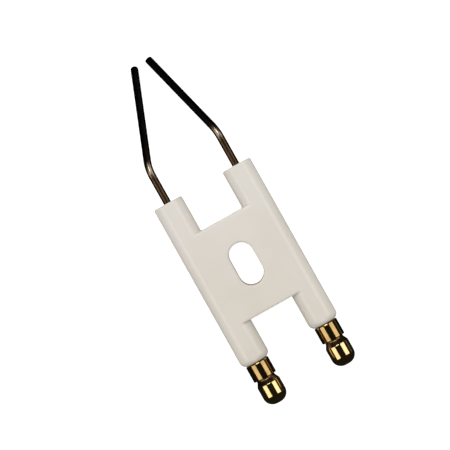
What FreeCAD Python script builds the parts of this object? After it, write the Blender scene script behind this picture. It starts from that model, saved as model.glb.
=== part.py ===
import FreeCAD, Part
import math
import os
import re
import Sketcher
from FreeCAD import Placement, Rotation, Vector

# Twin ignition electrode for a burner. A glazed ceramic block holds two heat-resistant rods, and each
# rod ends in a stud that carries a brass snap terminal for the high-voltage lead.
#
# Millimetres. The block lies flat: X runs across the two tubes, Y along them towards the spark tips, and
# Z up. The origin is the middle of the slot in the web, on the underside that the holder clamps.

SIZES = [
    ("tube_spacing", 20.0, "centre to centre of the two ceramic tubes"),
    ("tube_diameter", 8.0, "outside of a ceramic tube"),
    ("tube_length", 46.4, "ceramic tube from end face to end face"),
    ("spark_end_round", 0.5, "rounding of a tube's edge at the spark end"),
    ("terminal_end_round", 1.7, "rounding of a tube's edge at the terminal end"),
    ("web_thickness", 7.5, "web, and flats along both tubes"),
    ("web_length", 25.7, "web along the tubes"),
    ("web_corner", 0.5, "moulded corner between the web and a tube, at the spark end"),
    ("edge_round", 0.3, "softened edges of the web and the slot"),
    ("slot_width", 6.5, "clears an M6 clamping screw"),
    ("slot_length", 11.5, "slot end to end, along the tubes"),
    ("bore_diameter", 2.4, "hole that the rod passes through"),
    ("mouth_diameter", 3.4, "wider mouth of the bore at the spark end, filled with cement"),
    ("mouth_depth", 3.0, "depth of that mouth"),
    ("stud_hole_diameter", 4.8, "counterbore around the stud at the terminal end"),
    ("stud_hole_depth", 7.0, "depth of that counterbore"),
    ("cement_recess", 0.2, "cement stands back from the ceramic's end faces"),
    ("rod_diameter", 2.0, "heat-resistant wire"),
    ("bend_distance", 10.0, "ceramic's end face to the corner of the bend"),
    ("bend_radius", 9.0, "centre line of the bend"),
    ("tip_reach", 25.1, "corner of the bend to the tip, along the tubes"),
    ("tip_drop", 9.4, "tip below the rod's straight part"),
    ("left_tip_inset", 9.4, "left tip towards the middle"),
    ("right_tip_inset", 6.5, "right tip towards the middle"),
    ("left_tip_edge", 0.8, "rounding of the left tip"),
    ("right_tip_edge", 0.25, "chamfer of the right tip"),
    ("stud_diameter", 4.0, "M4 stud, thread drawn plain"),
    ("stud_depth", 6.0, "stud inside the ceramic"),
    ("stud_reach", 7.5, "stud inside the terminal"),
    ("stud_chamfer", 0.4, "both ends of the stud"),
    ("socket_depth", 5.0, "rod inside the stud"),
    ("terminal_diameter", 6.35, "brass bar that the terminal is turned from"),
    ("barrel_length", 4.45, "plain barrel next to the ceramic"),
    ("barrel_chamfer", 0.3, "barrel's edge at the ceramic"),
    ("neck_diameter", 5.0, "groove that the lead's clip snaps into"),
    ("neck_floor", 0.45, "straight floor of the groove"),
    ("neck_length", 1.7, "groove with its sloping side"),
    ("shoulder_chamfer", 0.12, "broken edges on both sides of the groove"),
    ("terminal_length", 11.8, "whole terminal"),
    ("dome_round", 2.6, "rounding of the terminal's head"),
    ("terminal_hole_depth", 8.0, "tapped hole, to the end of its full width"),
    ("drill_point", 1.0, "cone at the bottom of the tapped hole"),
]

# Sides, as the factor on X that places each one.
SIDES = {"left": -1, "right": 1}

# Every alias has an underscore, which no function of the expressions has.
ALIAS = re.compile(r"\b([a-z]\w*_\w+)\b")

# Lengths and places closer than this are the same, and a cut removes more than this volume.
SAME = 1e-6

doc = FreeCAD.newDocument("ignition_electrode")
sheet = doc.addObject("Spreadsheet::Sheet", "sizes")
for row, (alias, number, note) in enumerate(SIZES, start=1):
    sheet.set(f"A{row}", alias)
    sheet.set(f"B{row}", str(number))
    sheet.set(f"C{row}", note)
    sheet.setAlias(f"B{row}", alias)
doc.recompute()


def bound(formula):
    """A formula on the sheet's aliases, as an expression that any object can use."""
    return ALIAS.sub(r"sizes.\1", str(formula))


def value_of(formula):
    """What a formula on the sheet's aliases comes to now."""
    return float(sheet.evalExpression(bound(formula)))


def plane_of(body, role):
    """One of the body's own origin planes or axes."""
    return next(item for item in body.Origin.OriginFeatures if item.Role == role)


def new_body(name):
    """A PartDesign body whose label names its file."""
    body = doc.addObject("PartDesign::Body", name)
    body.Label = name
    return body


def new_sketch(body, name, role="XY_Plane", height="0"):
    """A sketch on one of the body's planes, raised by a formula."""
    sketch = body.newObject("Sketcher::SketchObject", name)
    sketch.AttachmentSupport = [(plane_of(body, role), "")]
    sketch.MapMode = "FlatFace"
    sketch.setExpression("AttachmentOffset.Base.z", bound(height))
    return sketch


def constrain(sketch, kind, *args, formula=None):
    """Adds a constraint, bound to a formula if it has a size."""
    if formula is None:
        sketch.addConstraint(Sketcher.Constraint(kind, *args))
        return
    index = sketch.addConstraint(Sketcher.Constraint(kind, *args, value_of(formula)))
    sketch.setExpression(f"Constraints[{index}]", bound(formula))


def pin_point(sketch, curve, end, across, along):
    """Ties one end of a curve to the place that two formulas give."""
    for kind, axis, formula in (("DistanceX", -2, across), ("DistanceY", -1, along)):
        if value_of(formula) == 0:
            constrain(sketch, "PointOnObject", curve, end, axis)
        else:
            constrain(sketch, kind, -1, 1, curve, end, formula=formula)


def draw_polygon(sketch, corners):
    """A closed outline of straight sides, each corner given by two formulas."""
    places = [Vector(value_of(across), value_of(along)) for across, along in corners]
    sides = []
    for start, end in zip(places, places[1:] + places[:1]):
        sides.append(sketch.addGeometry(Part.LineSegment(start, end), False))
    for side, following in zip(sides, sides[1:] + sides[:1]):
        constrain(sketch, "Coincident", side, 2, following, 1)
    for side, (across, along) in zip(sides, corners):
        pin_point(sketch, side, 1, across, along)


def draw_axis(sketch, across, along):
    """A construction line parallel to Y, for a shape that turns about it."""
    start = Vector(value_of(across), 0)
    end = Vector(value_of(across), value_of(along))
    axis = sketch.addGeometry(Part.LineSegment(start, end), True)
    pin_point(sketch, axis, 1, across, "0")
    pin_point(sketch, axis, 2, across, along)


def draw_circle(sketch, across, along, diameter):
    """A circle whose centre and diameter are formulas."""
    centre = Vector(value_of(across), value_of(along))
    ring = sketch.addGeometry(Part.Circle(centre, Vector(0, 0, 1), value_of(diameter) / 2), False)
    pin_point(sketch, ring, 3, across, along)
    constrain(sketch, "Diameter", ring, formula=diameter)


def draw_slot(sketch, width, length):
    """A round-ended slot about the origin, its long side along Y."""
    half_width = value_of(width) / 2
    reach = (value_of(length) - value_of(width)) / 2
    upper = Part.Circle(Vector(0, reach), Vector(0, 0, 1), half_width)
    lower = Part.Circle(Vector(0, -reach), Vector(0, 0, 1), half_width)
    top = sketch.addGeometry(Part.ArcOfCircle(upper, 0, math.pi), False)
    bottom = sketch.addGeometry(Part.ArcOfCircle(lower, math.pi, 2 * math.pi), False)
    descent = Part.LineSegment(Vector(-half_width, reach), Vector(-half_width, -reach))
    ascent = Part.LineSegment(Vector(half_width, -reach), Vector(half_width, reach))
    left = sketch.addGeometry(descent, False)
    right = sketch.addGeometry(ascent, False)
    constrain(sketch, "Tangent", top, 2, left, 1)
    constrain(sketch, "Tangent", left, 2, bottom, 1)
    constrain(sketch, "Tangent", bottom, 2, right, 1)
    constrain(sketch, "Tangent", right, 2, top, 1)
    pin_point(sketch, top, 3, "0", f"({length} - {width}) / 2")
    pin_point(sketch, bottom, 3, "0", f"({width} - {length}) / 2")
    constrain(sketch, "Radius", top, formula=f"{width} / 2")


def turn(body, kind, sketch, axis="V_Axis"):
    """A full revolution or groove of a sketch about its vertical axis or a construction line."""
    before = 0 if body.Shape.isNull() else body.Shape.Volume
    feature = body.newObject(f"PartDesign::{kind}", f"{sketch.Name}_{kind.lower()}")
    feature.Profile = sketch
    feature.ReferenceAxis = (sketch, [axis])
    feature.Angle = 360
    doc.recompute()
    if kind == "Groove" and body.Shape.Volume > before - SAME:
        raise RuntimeError(f"{feature.Name} cut nothing")
    return feature


def mirror(body, feature):
    """Repeats a feature on the other side of the YZ plane."""
    copy = body.newObject("PartDesign::Mirrored", f"{feature.Name}_mirrored")
    copy.Originals = [feature]
    copy.MirrorPlane = (plane_of(body, "YZ_Plane"), [""])
    body.Tip = copy
    doc.recompute()
    return copy


def cut_through(body, sketch):
    """A pocket both ways from the sketch, through everything."""
    before = body.Shape.Volume
    pocket = body.newObject("PartDesign::Pocket", f"{sketch.Name}_pocket")
    pocket.Profile = sketch
    pocket.Type = "ThroughAll"
    pocket.Midplane = True
    doc.recompute()
    if body.Shape.Volume > before - SAME:
        raise RuntimeError(f"{pocket.Name} cut nothing")
    return pocket


def edges_where(shape, wanted):
    """Names of the edges that a test accepts."""
    return [f"Edge{number}" for number, edge in enumerate(shape.Edges, start=1) if wanted(edge)]


def is_ring(edge, diameter, along):
    """Whether an edge is a whole circle about Y, of this diameter and at this place along Y."""
    curve = edge.Curve
    if not isinstance(curve, Part.Circle) or not edge.isClosed():
        return False
    same_size = abs(2 * curve.Radius - value_of(diameter)) < SAME
    return same_size and abs(curve.Center.y - value_of(along)) < SAME


def dress(body, kind, names, formula):
    """A fillet or chamfer on named edges of the body's tip."""
    if not names:
        raise RuntimeError(f"no edge of {body.Label} to {kind.lower()}")
    tip = body.Tip
    feature = body.newObject(f"PartDesign::{kind}", f"{body.Name}_{kind.lower()}_{len(body.Group)}")
    feature.Base = (tip, names)
    feature.setExpression("Radius" if kind == "Fillet" else "Size", bound(formula))
    doc.recompute()
    return feature


def dress_ring(body, kind, diameter, along, formula):
    """A fillet or chamfer on the rings of one diameter at one place along Y."""
    names = edges_where(body.Tip.Shape, lambda edge: is_ring(edge, diameter, along))
    dress(body, kind, names, formula)


def place(item, across, along, axis=Vector(0, 0, 1), angle="0 deg"):
    """Puts a sub-part at formulas for X and Y, on the tubes' centre height, turned by another formula."""
    item.Placement = Placement(Vector(0, 0, 0), Rotation(axis, 90))
    item.setExpression("Placement.Rotation.Angle", bound(angle))
    for letter, formula in (("x", across), ("y", along), ("z", "web_thickness / 2")):
        item.setExpression(f"Placement.Base.{letter}", bound(formula))


def build_insulator():
    """The ceramic block: two tubes with stepped bores, the web between them and its slot."""
    body = new_body("insulator_body")

    outline = new_sketch(body, "web_outline")
    draw_polygon(outline, [
        ("-tube_spacing / 2", "-web_length / 2"),
        ("tube_spacing / 2", "-web_length / 2"),
        ("tube_spacing / 2", "web_length / 2"),
        ("-tube_spacing / 2", "web_length / 2"),
    ])
    web = body.newObject("PartDesign::Pad", "web")
    web.Profile = outline
    web.setExpression("Length", bound("web_thickness"))
    doc.recompute()

    centre = "tube_spacing / 2"
    wall = new_sketch(body, "tube_wall", height="web_thickness / 2")
    outside = f"{centre} + tube_diameter / 2"
    draw_polygon(wall, [
        (centre, "-tube_length / 2"),
        (outside, "-tube_length / 2"),
        (outside, "tube_length / 2"),
        (centre, "tube_length / 2"),
    ])
    draw_axis(wall, centre, "tube_length")
    mirror(body, turn(body, "Revolution", wall, "Axis0"))
    dress_ring(body, "Fillet", "tube_diameter", "tube_length / 2", "spark_end_round")
    dress_ring(body, "Fillet", "tube_diameter", "-tube_length / 2", "terminal_end_round")

    flats = new_sketch(body, "flats", "XZ_Plane")
    for low, high in (("web_thickness", "2 * web_thickness"), ("-web_thickness", "0")):
        draw_polygon(flats, [
            ("-tube_spacing", low),
            ("tube_spacing", low),
            ("tube_spacing", high),
            ("-tube_spacing", high),
        ])
    cut_through(body, flats)

    slot = new_sketch(body, "clamping_slot")
    draw_slot(slot, "slot_width", "slot_length")
    cut_through(body, slot)
    soften_web(body)

    bore = new_sketch(body, "stepped_bore", height="web_thickness / 2")
    rod_wall = f"{centre} + bore_diameter / 2"
    stud_wall = f"{centre} + stud_hole_diameter / 2"
    mouth_wall = f"{centre} + mouth_diameter / 2"
    draw_polygon(bore, [
        (centre, "-tube_length / 2"),
        (stud_wall, "-tube_length / 2"),
        (stud_wall, "stud_hole_depth - tube_length / 2"),
        (rod_wall, "stud_hole_depth - tube_length / 2"),
        (rod_wall, "tube_length / 2 - mouth_depth"),
        (mouth_wall, "tube_length / 2 - mouth_depth"),
        (mouth_wall, "tube_length / 2"),
        (centre, "tube_length / 2"),
    ])
    draw_axis(bore, centre, "tube_length")
    mirror(body, turn(body, "Groove", bore, "Axis0"))
    return body


def soften_web(body):
    """Rounds the moulded corners of the web, its two ends and the rims of the slot."""
    web_end = value_of("web_length / 2")
    thickness = value_of("web_thickness")
    slot_reach = value_of("slot_length / 2")

    def same(one, other):
        return abs(one - other) < SAME

    def on_a_face(box):
        return same(box.ZMin, box.ZMax) and (same(box.ZMin, 0) or same(box.ZMin, thickness))

    def is_rim(edge):
        box = edge.BoundBox
        return on_a_face(box) and max(-box.XMin, box.XMax, -box.YMin, box.YMax) < slot_reach + SAME

    def is_web_edge(edge):
        box = edge.BoundBox
        return on_a_face(box) and same(box.YMin, box.YMax) and same(abs(box.YMin), web_end)

    def is_corner(edge):
        box = edge.BoundBox
        return isinstance(edge.Curve, Part.Circle) and same(box.YMin, web_end) and same(box.YMax, web_end)

    for wanted, size in ((is_rim, "edge_round"), (is_web_edge, "edge_round"), (is_corner, "web_corner")):
        dress(body, "Fillet", edges_where(body.Tip.Shape, wanted), size)


def build_rod(side):
    """One electrode: a straight shank, one bend and a straight run to the spark tip."""
    body = new_body(f"{side}_electrode_rod")
    inset = f"{side}_tip_inset"
    offset = f"sqrt({inset} ^ 2 + tip_drop ^ 2)"
    corner = "tube_length + bend_distance - stud_depth + socket_depth"
    angle = f"atan({offset} / tip_reach)"
    shank_end = f"{corner} - bend_radius * tan({angle} / 2)"

    path = new_sketch(body, f"{side}_rod_path")
    radius = value_of("bend_radius")
    turned = math.radians(value_of(angle))
    start = Vector(0, value_of(shank_end))
    centre = Vector(radius, start.y)
    tip = Vector(value_of(offset), value_of(corner) + value_of("tip_reach"))
    circle = Part.Circle(centre, Vector(0, 0, 1), radius)
    arc_shape = Part.ArcOfCircle(circle, math.pi - turned, math.pi)
    shank = path.addGeometry(Part.LineSegment(Vector(0, 0), start), False)
    arc = path.addGeometry(arc_shape, False)
    run = path.addGeometry(Part.LineSegment(arc_shape.StartPoint, tip), False)
    constrain(path, "Coincident", shank, 1, -1, 1)
    constrain(path, "Vertical", shank)
    constrain(path, "Tangent", shank, 2, arc, 2)
    constrain(path, "Tangent", arc, 1, run, 1)
    constrain(path, "Radius", arc, formula="bend_radius")
    pin_point(path, run, 2, offset, f"{corner} + tip_reach")
    constrain(path, "DistanceY", -1, 1, shank, 2, formula=shank_end)

    section = new_sketch(body, f"{side}_rod_section", "XZ_Plane")
    draw_circle(section, "0", "0", "rod_diameter")
    rod = body.newObject("PartDesign::AdditivePipe", f"{side}_rod")
    rod.Profile = section
    rod.Spine = (path, [])
    doc.recompute()

    def is_tip(edge):
        return edge.isClosed() and (edge.CenterOfMass - tip).Length < SAME

    kind = "Fillet" if side == "left" else "Chamfer"
    dress(body, kind, edges_where(body.Tip.Shape, is_tip), f"{side}_tip_edge")

    droop = f"atan2(tip_drop; {inset})"
    lean = droop if side == "left" else f"180 deg - {droop}"
    socket_end = "stud_depth - socket_depth - tube_length / 2"
    place(body, f"{SIDES[side]} * tube_spacing / 2", socket_end, Vector(0, 1, 0), lean)
    return body


def build_terminal(side):
    """A turned brass nut: barrel, neck groove and domed head, with a blind tapped hole."""
    body = new_body(f"{side}_terminal")
    outer = "terminal_diameter / 2"
    neck = "neck_diameter / 2"
    profile = new_sketch(body, f"{side}_terminal_profile")
    draw_polygon(profile, [
        ("0", "0"),
        (outer, "0"),
        (outer, "-barrel_length"),
        (neck, "-barrel_length"),
        (neck, "-barrel_length - neck_floor"),
        (outer, "-barrel_length - neck_length"),
        (outer, "-terminal_length"),
        ("0", "-terminal_length"),
    ])
    turn(body, "Revolution", profile)
    dress_ring(body, "Chamfer", "terminal_diameter", "0", "barrel_chamfer")
    dress_ring(body, "Chamfer", "terminal_diameter", "-barrel_length", "shoulder_chamfer")
    dress_ring(body, "Fillet", "terminal_diameter", "-barrel_length - neck_length", "shoulder_chamfer")
    dress_ring(body, "Fillet", "terminal_diameter", "-terminal_length", "dome_round")

    hole = new_sketch(body, f"{side}_terminal_hole")
    draw_polygon(hole, [
        ("0", "0"),
        ("stud_diameter / 2", "0"),
        ("stud_diameter / 2", "-terminal_hole_depth"),
        ("0", "-terminal_hole_depth - drill_point"),
    ])
    turn(body, "Groove", hole)
    place(body, f"{SIDES[side]} * tube_spacing / 2", "-tube_length / 2")
    return body


def build_stud(side):
    """The steel stud: one end holds the rod, the other carries the terminal."""
    body = new_body(f"{side}_terminal_stud")
    radius = "stud_diameter / 2"
    profile = new_sketch(body, f"{side}_stud_profile")
    draw_polygon(profile, [
        ("0", "-stud_reach"),
        (radius, "-stud_reach"),
        (radius, "stud_depth"),
        ("rod_diameter / 2", "stud_depth"),
        ("rod_diameter / 2", "stud_depth - socket_depth"),
        ("0", "stud_depth - socket_depth"),
    ])
    turn(body, "Revolution", profile)
    dress_ring(body, "Chamfer", "stud_diameter", "-stud_reach", "stud_chamfer")
    dress_ring(body, "Chamfer", "stud_diameter", "stud_depth", "stud_chamfer")
    place(body, f"{SIDES[side]} * tube_spacing / 2", "-tube_length / 2")
    return body


def cylinder(name, diameter, start, length):
    """A cylinder that stands along its own Z, from a start height."""
    item = doc.addObject("Part::Cylinder", name)
    item.setExpression("Radius", bound(f"({diameter}) / 2"))
    item.setExpression("Height", bound(length))
    item.setExpression("Placement.Base.z", bound(start))
    return item


def build_cement(name, side, along, outside, plug):
    """A fired cement filling: a plain cylinder less what passes through it."""
    filling = doc.addObject("Part::Cut", name)
    filling.Label = name
    filling.Base = outside
    filling.Tool = plug
    place(filling, f"{SIDES[side]} * tube_spacing / 2", along, Vector(1, 0, 0), "-90 deg")
    return filling


def build_lower_cement(side):
    """Cement in the counterbore, around the stud and the start of the rod."""
    name = f"{side}_lower_cement"
    length = "stud_hole_depth - cement_recess"
    outside = cylinder(f"{name}_outside", "stud_hole_diameter", "cement_recess", length)
    plug = doc.addObject("Part::MultiFuse", f"{name}_plug")
    plug.Shapes = [
        cylinder(f"{name}_stud", "stud_diameter", "0", "stud_depth"),
        cylinder(f"{name}_rod", "rod_diameter", "0", "2 * stud_hole_depth"),
    ]
    return build_cement(name, side, "-tube_length / 2", outside, plug)


def build_upper_cement(side):
    """Cement in the mouth of the bore, around the rod."""
    name = f"{side}_upper_cement"
    outside = cylinder(f"{name}_outside", "mouth_diameter", "0", "mouth_depth - cement_recess")
    rod = cylinder(f"{name}_rod", "rod_diameter", "-mouth_depth", "3 * mouth_depth")
    return build_cement(name, side, "tube_length / 2 - mouth_depth", outside, rod)


parts = [build_insulator()]
for side in SIDES:
    for build in (build_rod, build_stud, build_terminal, build_lower_cement, build_upper_cement):
        parts.append(build(side))
doc.recompute()

for item in doc.Objects:
    if {"Invalid", "Error"} & set(item.State):
        raise RuntimeError(f"{item.Label} did not recompute: {item.State}")
for part in parts:
    if part.Shape.isNull() or not part.Shape.isValid() or len(part.Shape.Solids) != 1:
        raise RuntimeError(f"{part.Label} has no valid solid")

os.makedirs("parts", exist_ok=True)
for part in parts:
    part.Shape.exportStep(f"parts/{part.Label}.step")
    print(f"{part.Label}: {part.Shape.Volume:.2f} mm3")
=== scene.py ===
"""Looks of a twin ignition electrode: glazed ceramic block, scaled rods and turned brass terminals.

Metres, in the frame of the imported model: X across the two tubes, Y along them towards the spark tips, Z up
out of the web, with the origin in the slot on the web's underside.
"""
import math

import bmesh
import bpy
from mathutils import Matrix, Vector


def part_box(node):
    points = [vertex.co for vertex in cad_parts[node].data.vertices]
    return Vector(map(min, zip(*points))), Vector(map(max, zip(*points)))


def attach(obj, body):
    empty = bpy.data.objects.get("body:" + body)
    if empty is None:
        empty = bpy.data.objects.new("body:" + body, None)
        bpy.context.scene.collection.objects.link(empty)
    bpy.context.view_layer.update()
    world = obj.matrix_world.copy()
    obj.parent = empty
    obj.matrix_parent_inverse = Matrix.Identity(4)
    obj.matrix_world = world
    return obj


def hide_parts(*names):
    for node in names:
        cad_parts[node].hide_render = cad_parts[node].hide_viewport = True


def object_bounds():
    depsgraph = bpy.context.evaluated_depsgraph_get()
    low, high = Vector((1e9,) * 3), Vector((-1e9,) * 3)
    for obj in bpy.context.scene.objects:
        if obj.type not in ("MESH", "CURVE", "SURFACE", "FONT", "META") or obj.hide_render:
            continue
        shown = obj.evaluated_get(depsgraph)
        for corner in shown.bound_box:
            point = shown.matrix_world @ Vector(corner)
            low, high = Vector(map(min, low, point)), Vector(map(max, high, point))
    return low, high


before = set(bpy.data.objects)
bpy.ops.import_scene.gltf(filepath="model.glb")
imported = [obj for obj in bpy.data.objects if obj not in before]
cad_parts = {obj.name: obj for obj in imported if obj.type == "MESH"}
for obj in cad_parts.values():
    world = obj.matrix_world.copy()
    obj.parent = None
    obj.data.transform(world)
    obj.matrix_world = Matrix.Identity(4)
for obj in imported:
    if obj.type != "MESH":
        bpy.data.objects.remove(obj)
cad_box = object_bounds()

MM = 0.001
SIDES = ("left", "right")

# Driving sizes of the turned terminal and of the rods, as the drawing gives them.
BARREL_LENGTH = 4.45 * MM
BARREL_CHAMFER = 0.3 * MM
NECK_RADIUS = 2.5 * MM
NECK_FLOOR = 0.45 * MM
NECK_LENGTH = 1.7 * MM
DOME_ROUND = 2.6 * MM
BROKEN_EDGE = 0.12 * MM
ROD_RADIUS = 1.0 * MM
BEND_RADIUS = 9.0 * MM
BEND_DISTANCE = 10.0 * MM
TIP_REACH = 25.1 * MM
TIP_DROP = 9.4 * MM
TIP_INSET = {"left": 9.4 * MM, "right": 6.5 * MM}
TIP_EDGE = {"left": 0.8 * MM, "right": 0.25 * MM}
TIP_SLACK = 0.01 * MM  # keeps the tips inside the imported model's slightly faceted ones

# How finely the new meshes are divided.
LONGEST_RUN = 0.5 * MM
RUN_CUTS = 15
TURNED_STEPS = 144
DOME_SEGMENTS = 28
ROD_SEGMENTS = 48
SHANK_STEPS = 12
BEND_STEPS = 30
TIP_RUN_STEPS = 8
TIP_SEGMENTS = {"left": 7, "right": 2}
MERGE_DISTANCE = 0.2 * MM * MM
SHARP_ANGLE = math.radians(32)


# ---------------------------------------------------------------- shader maths

class Socket:
    """An output socket, or a number, that Python's operators can work on."""

    def __init__(self, tree, value):
        self.tree = tree
        self.value = value

    def maths(self, operation, *others):
        node = self.tree.nodes.new("ShaderNodeMath")
        node.operation = operation
        for slot, item in zip(node.inputs, (self, *others)):
            plug(self.tree, slot, item)
        return Socket(self.tree, node.outputs[0])

    def __add__(self, other):
        return self.maths("ADD", other)

    def __radd__(self, other):
        return self.maths("ADD", other)

    def __sub__(self, other):
        return self.maths("SUBTRACT", other)

    def __rsub__(self, other):
        return Socket(self.tree, other).maths("SUBTRACT", self)

    def __mul__(self, other):
        return self.maths("MULTIPLY", other)

    def __rmul__(self, other):
        return self.maths("MULTIPLY", other)

    def rising(self, low, high):
        """0 below low, 1 above high and a smooth climb between."""
        node = self.tree.nodes.new("ShaderNodeMapRange")
        node.interpolation_type = "SMOOTHSTEP"
        plug(self.tree, node.inputs["Value"], self)
        node.inputs["From Min"].default_value = low
        node.inputs["From Max"].default_value = high
        return Socket(self.tree, node.outputs["Result"])


def plug(tree, slot, item):
    """Links a socket into a slot, or sets the slot's own value."""
    if isinstance(item, Socket):
        item = item.value
    if isinstance(item, bpy.types.NodeSocket):
        tree.links.new(item, slot)
    else:
        slot.default_value = item


class Finish:
    """A material with one Principled shader, and short ways to add nodes to it."""

    def __init__(self, name, **fixed):
        self.material = bpy.data.materials.new(name)
        self.material.use_nodes = True
        self.tree = self.material.node_tree
        self.shader = self.tree.nodes["Principled BSDF"]
        for slot, value in fixed.items():
            self.shader.inputs[slot.replace("_", " ")].default_value = value
        self.place = self.node("TexCoord", output="Object")

    def node(self, kind, settings=None, output=None, **values):
        """Adds a node: its settings first, then the values or links of its sockets."""
        node = self.tree.nodes.new(f"ShaderNode{kind}")
        for key, value in (settings or {}).items():
            setattr(node, key, value)
        for key, value in values.items():
            plug(self.tree, node.inputs[key.replace("_", " ")], value)
        return Socket(self.tree, node.outputs[output or 0])

    def moved(self, scale):
        """The place, stretched along each axis."""
        return self.node("Mapping", output="Vector", Vector=self.place, Scale=scale)

    def noise(self, vector, scale, detail=4.0, roughness=0.55):
        return self.node(
            "TexNoise", output="Fac", Vector=vector, Scale=scale, Detail=detail, Roughness=roughness,
        )

    def axis(self, letter):
        """One coordinate of the place, in metres."""
        return self.node("SeparateXYZ", output=letter, Vector=self.place)

    def blend(self, amount, one, other):
        """Mixes two colours."""
        node = self.tree.nodes.new("ShaderNodeMix")
        node.data_type = "RGBA"
        for slot, item in ((0, amount), (6, one), (7, other)):
            plug(self.tree, node.inputs[slot], item)
        return Socket(self.tree, node.outputs[2])

    def bump(self, height, distance, strength=1.0, edge_softness=0.0):
        """Roughens the surface, over edges that look rounded by a softness in metres."""
        bump = self.node("Bump", output="Normal", Height=height, Distance=distance, Strength=strength)
        if edge_softness:
            soft = self.node("Bevel", {"samples": 8}, output="Normal", Radius=edge_softness)
            plug(self.tree, bump.value.node.inputs["Normal"], soft)
        plug(self.tree, self.shader.inputs["Normal"], bump)

    def feed(self, **links):
        for slot, item in links.items():
            plug(self.tree, self.shader.inputs[slot.replace("_", " ")], item)
        return self.material


# ---------------------------------------------------------------- materials

def glaze():
    """Off-white glazed ceramic: a little uneven in tone and surface, with a few iron specks."""
    made = Finish("ceramic_glaze", IOR=1.6, Coat_Weight=0.45, Coat_IOR=1.6, Coat_Roughness=0.2)
    cloud = made.noise(made.place, 90.0, 3.0)
    grain = made.noise(made.place, 2600.0, 2.0)
    speck_field = made.node("TexVoronoi", output="Distance", Vector=made.place, Scale=420.0)
    rarity = made.noise(made.place, 210.0, 1.0)
    speck = (1.0 - speck_field.rising(0.05, 0.13)) * rarity.rising(0.66, 0.70)
    cream = 1.0 - made.axis("Y").rising(-0.020, 0.020)
    pale = made.blend(cream, (0.672, 0.637, 0.585, 1), (0.655, 0.613, 0.540, 1))
    tone = made.blend(cloud.rising(0.3, 0.7) * 0.5, pale, (0.70, 0.672, 0.625, 1))
    tone = made.blend(speck * 0.55, tone, (0.33, 0.22, 0.13, 1))
    made.bump(cloud * 0.8 + grain * 0.05, 0.00006, 0.5, edge_softness=0.9 * MM)
    return made.feed(Base_Color=tone, Roughness=0.30 + cloud * 0.12)


def fired_cement():
    """Matt grey-white cement, gritty."""
    made = Finish("fired_cement", IOR=1.45)
    grit = made.noise(made.place, 3800.0, 5.0, 0.7)
    tone = made.blend(grit, (0.42, 0.39, 0.34, 1), (0.70, 0.67, 0.61, 1))
    made.bump(grit, 0.00012)
    return made.feed(Base_Color=tone, Roughness=0.8 + grit * 0.15)


def scaled_rod():
    """Heat-resistant wire: brown scale, black at the tip, with drawing lines, and a lighter band in the bend
    that is partly shed scale and partly a painted highlight.
    """
    made = Finish("scaled_rod", Metallic=1.0)
    along = made.axis("Y")
    shank_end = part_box("insulator_body")[1].y + BEND_DISTANCE
    # Near-black from the bend on to the tip.
    past_bend = along.rising(shank_end - 1 * MM, shank_end + 5 * MM)
    lines = made.noise(made.moved((1, 0.02, 1)), 5200.0, 3.0)
    patches = made.noise(made.moved((1, 0.3, 1)), 700.0, 4.0, 0.65)
    shank = made.blend(patches.rising(0.35, 0.65), (0.070, 0.042, 0.022, 1), (0.105, 0.064, 0.034, 1))
    tip_black = made.blend(patches.rising(0.3, 0.7), (0.008, 0.009, 0.012, 1), (0.020, 0.017, 0.016, 1))
    # Lighter band in the bend: partly scale shed by the bending, partly a painted highlight where the bend
    # catches the light.
    bend_highlight_start = along.rising(shank_end - 3 * MM, shank_end - 0.5 * MM)
    shed_and_highlight = bend_highlight_start * (1.0 - along.rising(shank_end, shank_end + 2 * MM))
    # The pale colour mixed in is the bend's shed scale and painted highlight.
    tone = made.blend(shed_and_highlight * 0.6, made.blend(past_bend, shank, tip_black), (0.60, 0.50, 0.38, 1))
    made.bump(lines * 0.6 + patches * 0.3, 0.000012, 0.6)
    return made.feed(Base_Color=tone, Roughness=0.20 + patches * 0.08 + past_bend * 0.1)


def turned_brass():
    """Polished brass with fine lathe lines, a slightly duller barrel and painted shade in the neck groove.
    """
    made = Finish("turned_brass", Metallic=1.0)
    along = made.axis("Y")
    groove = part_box("left_terminal")[1].y - BARREL_LENGTH
    barrel = along.rising(groove - 0.5 * MM, groove)
    lathe = made.node(
        "TexNoise", {"noise_dimensions": "1D"}, output="Fac", W=along, Scale=16000.0, Detail=3.0,
    )
    tarnish = made.noise(made.place, 420.0, 4.0, 0.6)
    bright = made.blend(tarnish.rising(0.35, 0.75), (0.95, 0.70, 0.34, 1), (0.82, 0.55, 0.24, 1))
    dull = made.blend(tarnish.rising(0.35, 0.75), (0.56, 0.38, 0.16, 1), (0.42, 0.27, 0.10, 1))
    # Painted shade: the neck groove's colour is darkened where shade falls in the recess.
    groove_shade_start = along.rising(groove - 2.0 * MM, groove - 1.2 * MM)
    painted_groove_shade = groove_shade_start * (1.0 - along.rising(groove, groove + 0.15 * MM))
    tone = made.blend(barrel, bright, dull)
    made.bump(lathe, 0.000003, 0.5)
    # The dark brown mixed in is the painted shade of the neck groove; the same mask also roughens it.
    return made.feed(Base_Color=made.blend(painted_groove_shade * 0.85, tone, (0.12, 0.06, 0.025, 1)),
                     Roughness=0.06 + tarnish * 0.06 + barrel * 0.03 + painted_groove_shade * 0.2)


def stud_steel():
    """Plain turned steel."""
    made = Finish("stud_steel", Metallic=1.0)
    wear = made.noise(made.place, 1500.0, 3.0)
    tone = made.blend(wear, (0.42, 0.41, 0.40, 1), (0.56, 0.55, 0.53, 1))
    return made.feed(Base_Color=tone, Roughness=0.3 + wear * 0.2)


def pale_floor():
    """Plain matt white, faintly lit from below as a light table is."""
    made = Finish("pale_floor", Roughness=0.9, Specular_IOR_Level=0.1, Emission_Strength=0.7)
    shade = made.noise(made.place, 6.0, 2.0)
    return made.feed(Base_Color=made.blend(shade, (0.60, 0.60, 0.60, 1), (0.62, 0.62, 0.62, 1)),
                     Emission_Color=(1, 1, 1, 1))


# ---------------------------------------------------------------- shapes

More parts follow.
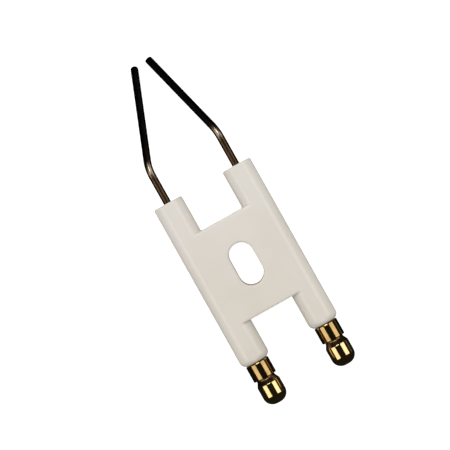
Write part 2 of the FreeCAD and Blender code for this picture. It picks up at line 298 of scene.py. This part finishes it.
def finished_piece(name, shape, material, node):
    """Turns a bmesh into a smooth-shaded piece that stands for a node and rides with the object."""
    bmesh.ops.remove_doubles(shape, verts=shape.verts, dist=MERGE_DISTANCE)
    bmesh.ops.recalc_face_normals(shape, faces=shape.faces)
    mesh = bpy.data.meshes.new(name)
    shape.to_mesh(mesh)
    shape.free()
    mesh.shade_smooth()
    mesh.set_sharp_from_angle(angle=SHARP_ANGLE)
    mesh.materials.append(material)
    piece = bpy.data.objects.new(name, mesh)
    bpy.context.scene.collection.objects.link(piece)
    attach(piece, "root")
    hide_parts(node)
    return piece


def tube_centre(side):
    """Where a tube's centre line crosses the slot's middle."""
    low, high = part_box(f"{side}_terminal")
    return Vector(((low.x + high.x) / 2, 0, (low.z + high.z) / 2))


def round_corner(shape, corner, size, segments):
    """Rounds one corner of an open outline."""
    bmesh.ops.bevel(
        shape, geom=[corner], offset=size, offset_type="OFFSET", affect="VERTICES",
        segments=segments, profile=0.5, material=-1,
    )


def snap_terminal(side, material):
    """The brass nut, turned from one outline: tapped hole, barrel, neck groove and domed head."""
    node = f"{side}_terminal"
    low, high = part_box(node)
    radius = (high.x - low.x) / 2
    length = high.y - low.y
    stud_low, stud_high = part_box(f"{side}_terminal_stud")
    hole = (stud_high.x - stud_low.x) / 2
    hole_depth = high.y - stud_low.y + 0.5 * MM
    shape = bmesh.new()
    outline = [
        (0, -hole_depth - 1 * MM),
        (hole, -hole_depth),
        (hole, 0),
        (radius, 0),
        (radius, -BARREL_LENGTH),
        (NECK_RADIUS, -BARREL_LENGTH),
        (NECK_RADIUS, -BARREL_LENGTH - NECK_FLOOR),
        (radius, -BARREL_LENGTH - NECK_LENGTH),
        (radius, -length),
        (0, -length),
    ]
    corners = [shape.verts.new((across, along, 0)) for across, along in outline]
    for one, other in zip(corners, corners[1:]):
        shape.edges.new((one, other))
    for index, size, segments in (
        (3, BARREL_CHAMFER, 2),
        (4, BROKEN_EDGE, 3),
        (5, BROKEN_EDGE, 4),
        (6, 2 * BROKEN_EDGE, 5),
        (7, BROKEN_EDGE, 5),
        (8, DOME_ROUND, DOME_SEGMENTS),
    ):
        round_corner(shape, corners[index], size, segments)
    # Short faces keep the corners' tilted normals from spreading along the straight runs.
    long_runs = [edge for edge in shape.edges if edge.calc_length() > LONGEST_RUN]
    bmesh.ops.subdivide_edges(shape, edges=long_runs, cuts=RUN_CUTS)
    bmesh.ops.spin(
        shape, geom=shape.verts[:] + shape.edges[:], cent=(0, 0, 0), axis=(0, 1, 0),
        angle=2 * math.pi, steps=TURNED_STEPS, use_merge=True,
    )
    place = tube_centre(side) + Vector((0, high.y, 0))
    bmesh.ops.translate(shape, verts=shape.verts, vec=place)
    return finished_piece(f"{side}_snap_terminal", shape, material, node)


def grow(shape, face, travel, steps):
    """Draws a face out along a straight line in equal steps, and returns the face at the end."""
    for _ in range(steps):
        grown = bmesh.ops.extrude_face_region(shape, geom=[face])["geom"]
        bmesh.ops.delete(shape, geom=[face], context="FACES")
        face = next(item for item in grown if isinstance(item, bmesh.types.BMFace))
        bmesh.ops.translate(shape, verts=face.verts, vec=travel / steps)
    return face


def bent_rod(side, material):
    """A round wire: straight shank, one bend inwards and down, straight run and finished tip."""
    node = f"{side}_electrode_rod"
    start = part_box(node)[0].y
    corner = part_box("insulator_body")[1].y + BEND_DISTANCE - start
    offset = math.hypot(TIP_INSET[side], TIP_DROP)
    turned = math.atan2(offset, TIP_REACH)
    tangent = BEND_RADIUS * math.tan(turned / 2)
    run = math.hypot(offset, TIP_REACH) - tangent - TIP_SLACK

    shape = bmesh.new()
    facing = Matrix.Rotation(-math.pi / 2, 4, "X")
    bmesh.ops.create_circle(shape, cap_ends=True, radius=ROD_RADIUS, segments=ROD_SEGMENTS, matrix=facing)
    face = grow(shape, shape.faces[:][0], Vector((0, corner - tangent, 0)), SHANK_STEPS)
    bent = bmesh.ops.spin(
        shape, geom=[face], cent=(BEND_RADIUS, corner - tangent, 0), axis=(0, 0, -1),
        angle=turned, steps=BEND_STEPS,
    )["geom_last"]
    bmesh.ops.delete(shape, geom=[face], context="FACES")
    face = next(item for item in bent if isinstance(item, bmesh.types.BMFace))
    face = grow(shape, face, Vector((math.sin(turned), math.cos(turned), 0)) * run, TIP_RUN_STEPS)
    bmesh.ops.bevel(
        shape, geom=face.edges[:], offset=TIP_EDGE[side], offset_type="OFFSET", affect="EDGES",
        segments=TIP_SEGMENTS[side], profile=0.5, material=-1,
    )
    droop = math.atan2(TIP_DROP, TIP_INSET[side])
    lean = droop if side == "left" else math.pi - droop
    place = Matrix.Translation(tube_centre(side) + Vector((0, start, 0))) @ Matrix.Rotation(lean, 4, "Y")
    bmesh.ops.transform(shape, matrix=place, verts=shape.verts)
    return finished_piece(f"{side}_bent_rod", shape, material, node)


def dress_node(node, material):
    """Gives a carried-over node its material."""
    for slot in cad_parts[node].material_slots:
        slot.material = material


# ---------------------------------------------------------------- studio

def studio_floor():
    """A plain pale floor just under the rods' tips. Polished metal doesn't mirror it."""
    shape = bmesh.new()
    bmesh.ops.create_circle(shape, cap_ends=True, radius=3.0, segments=64)
    bmesh.ops.translate(shape, verts=shape.verts, vec=(0, 0, cad_box[0].z))
    mesh = bpy.data.meshes.new("floor")
    shape.to_mesh(mesh)
    shape.free()
    mesh.materials.append(pale_floor())
    floor = bpy.data.objects.new("floor", mesh)
    bpy.context.scene.collection.objects.link(floor)
    floor.visible_glossy = False


def soft_light(name, lean_across, lean_along, distance, width, length, power, colour=(1, 1, 1)):
    """A soft box that faces the block, leant from overhead across and along the tubes."""
    lamp = bpy.data.lights.new(name, "AREA")
    lamp.shape = "RECTANGLE"
    lamp.size = width
    lamp.size_y = length
    lamp.energy = power
    lamp.color = colour
    holder = bpy.data.objects.new(name, lamp)
    across = Matrix.Rotation(math.radians(lean_across), 4, "Y")
    along = Matrix.Rotation(math.radians(-lean_along), 4, "X")
    holder.matrix_world = across @ along @ Matrix.Translation((0, 0, distance))
    bpy.context.scene.collection.objects.link(holder)
    return holder


def studio_tent():
    """White to look at and as a soft fill, dark in polished metal, as a tent with its far walls in shade."""
    world = bpy.data.worlds.new("studio")
    bpy.context.scene.world = world
    world.use_nodes = True
    tree = world.node_tree
    ray = tree.nodes.new("ShaderNodeLightPath")
    tone = (0.42, 0.42, 0.42, 1)
    seen_by = (("Is Glossy Ray", (0.012, 0.012, 0.010, 1)), ("Is Camera Ray", (1, 1, 1, 1)))
    for output, other in seen_by:
        mixed = tree.nodes.new("ShaderNodeMix")
        mixed.data_type = "RGBA"
        tree.links.new(ray.outputs[output], mixed.inputs[0])
        plug(tree, mixed.inputs[6], tone)
        plug(tree, mixed.inputs[7], other)
        tone = mixed.outputs[2]
    tree.links.new(tone, tree.nodes["Background"].inputs["Color"])


def camera():
    """Looks almost straight down on the web, turned so that the rods point up and to the left."""
    distance = 0.600
    field = 0.11478
    view = bpy.data.cameras.new("camera")
    view.sensor_width = 36.0
    view.lens = view.sensor_width * distance / field
    holder = bpy.data.objects.new("camera", view)
    mid_height = Vector((0, 0, tube_centre("left").z))
    lean = Matrix.Rotation(math.radians(0.60), 4, "X") @ Matrix.Rotation(math.radians(-1.02), 4, "Y")
    roll = Matrix.Rotation(math.radians(29.33), 4, "Z")
    aim = Matrix.Translation((-5.44 * MM, 9.762 * MM, distance))
    holder.matrix_world = Matrix.Translation(mid_height) @ (roll @ lean).inverted() @ aim
    bpy.context.scene.collection.objects.link(holder)
    bpy.context.scene.camera = holder


# ---------------------------------------------------------------- making

camera()
studio_floor()
studio_tent()
soft_light("left_strip", -48, 0, 0.55, 0.38, 0.36, 0.64, (1.0, 0.97, 0.93))
soft_light("right_strip", 48, 0, 0.55, 0.38, 0.36, 0.64, (1.0, 0.97, 0.93))
soft_light("low_strip", 98, 9, 0.60, 0.05, 0.50, 0.02, (0.9, 1.0, 0.85))
soft_light("front_window", 0, 21, 0.60, 0.30, 0.13, 0.75, (1.0, 0.97, 0.92))
soft_light("overhead", 0, 30, 0.60, 0.60, 0.60, 1.2).visible_glossy = False
bpy.context.scene.view_settings.view_transform = "Standard"

brass = turned_brass()
scale = scaled_rod()
cement = fired_cement()
steel = stud_steel()
dress_node("insulator_body", glaze())
for side in SIDES:
    snap_terminal(side, brass)
    bent_rod(side, scale)
    dress_node(f"{side}_terminal_stud", steel)
    dress_node(f"{side}_lower_cement", cement)
    dress_node(f"{side}_upper_cement", cement)
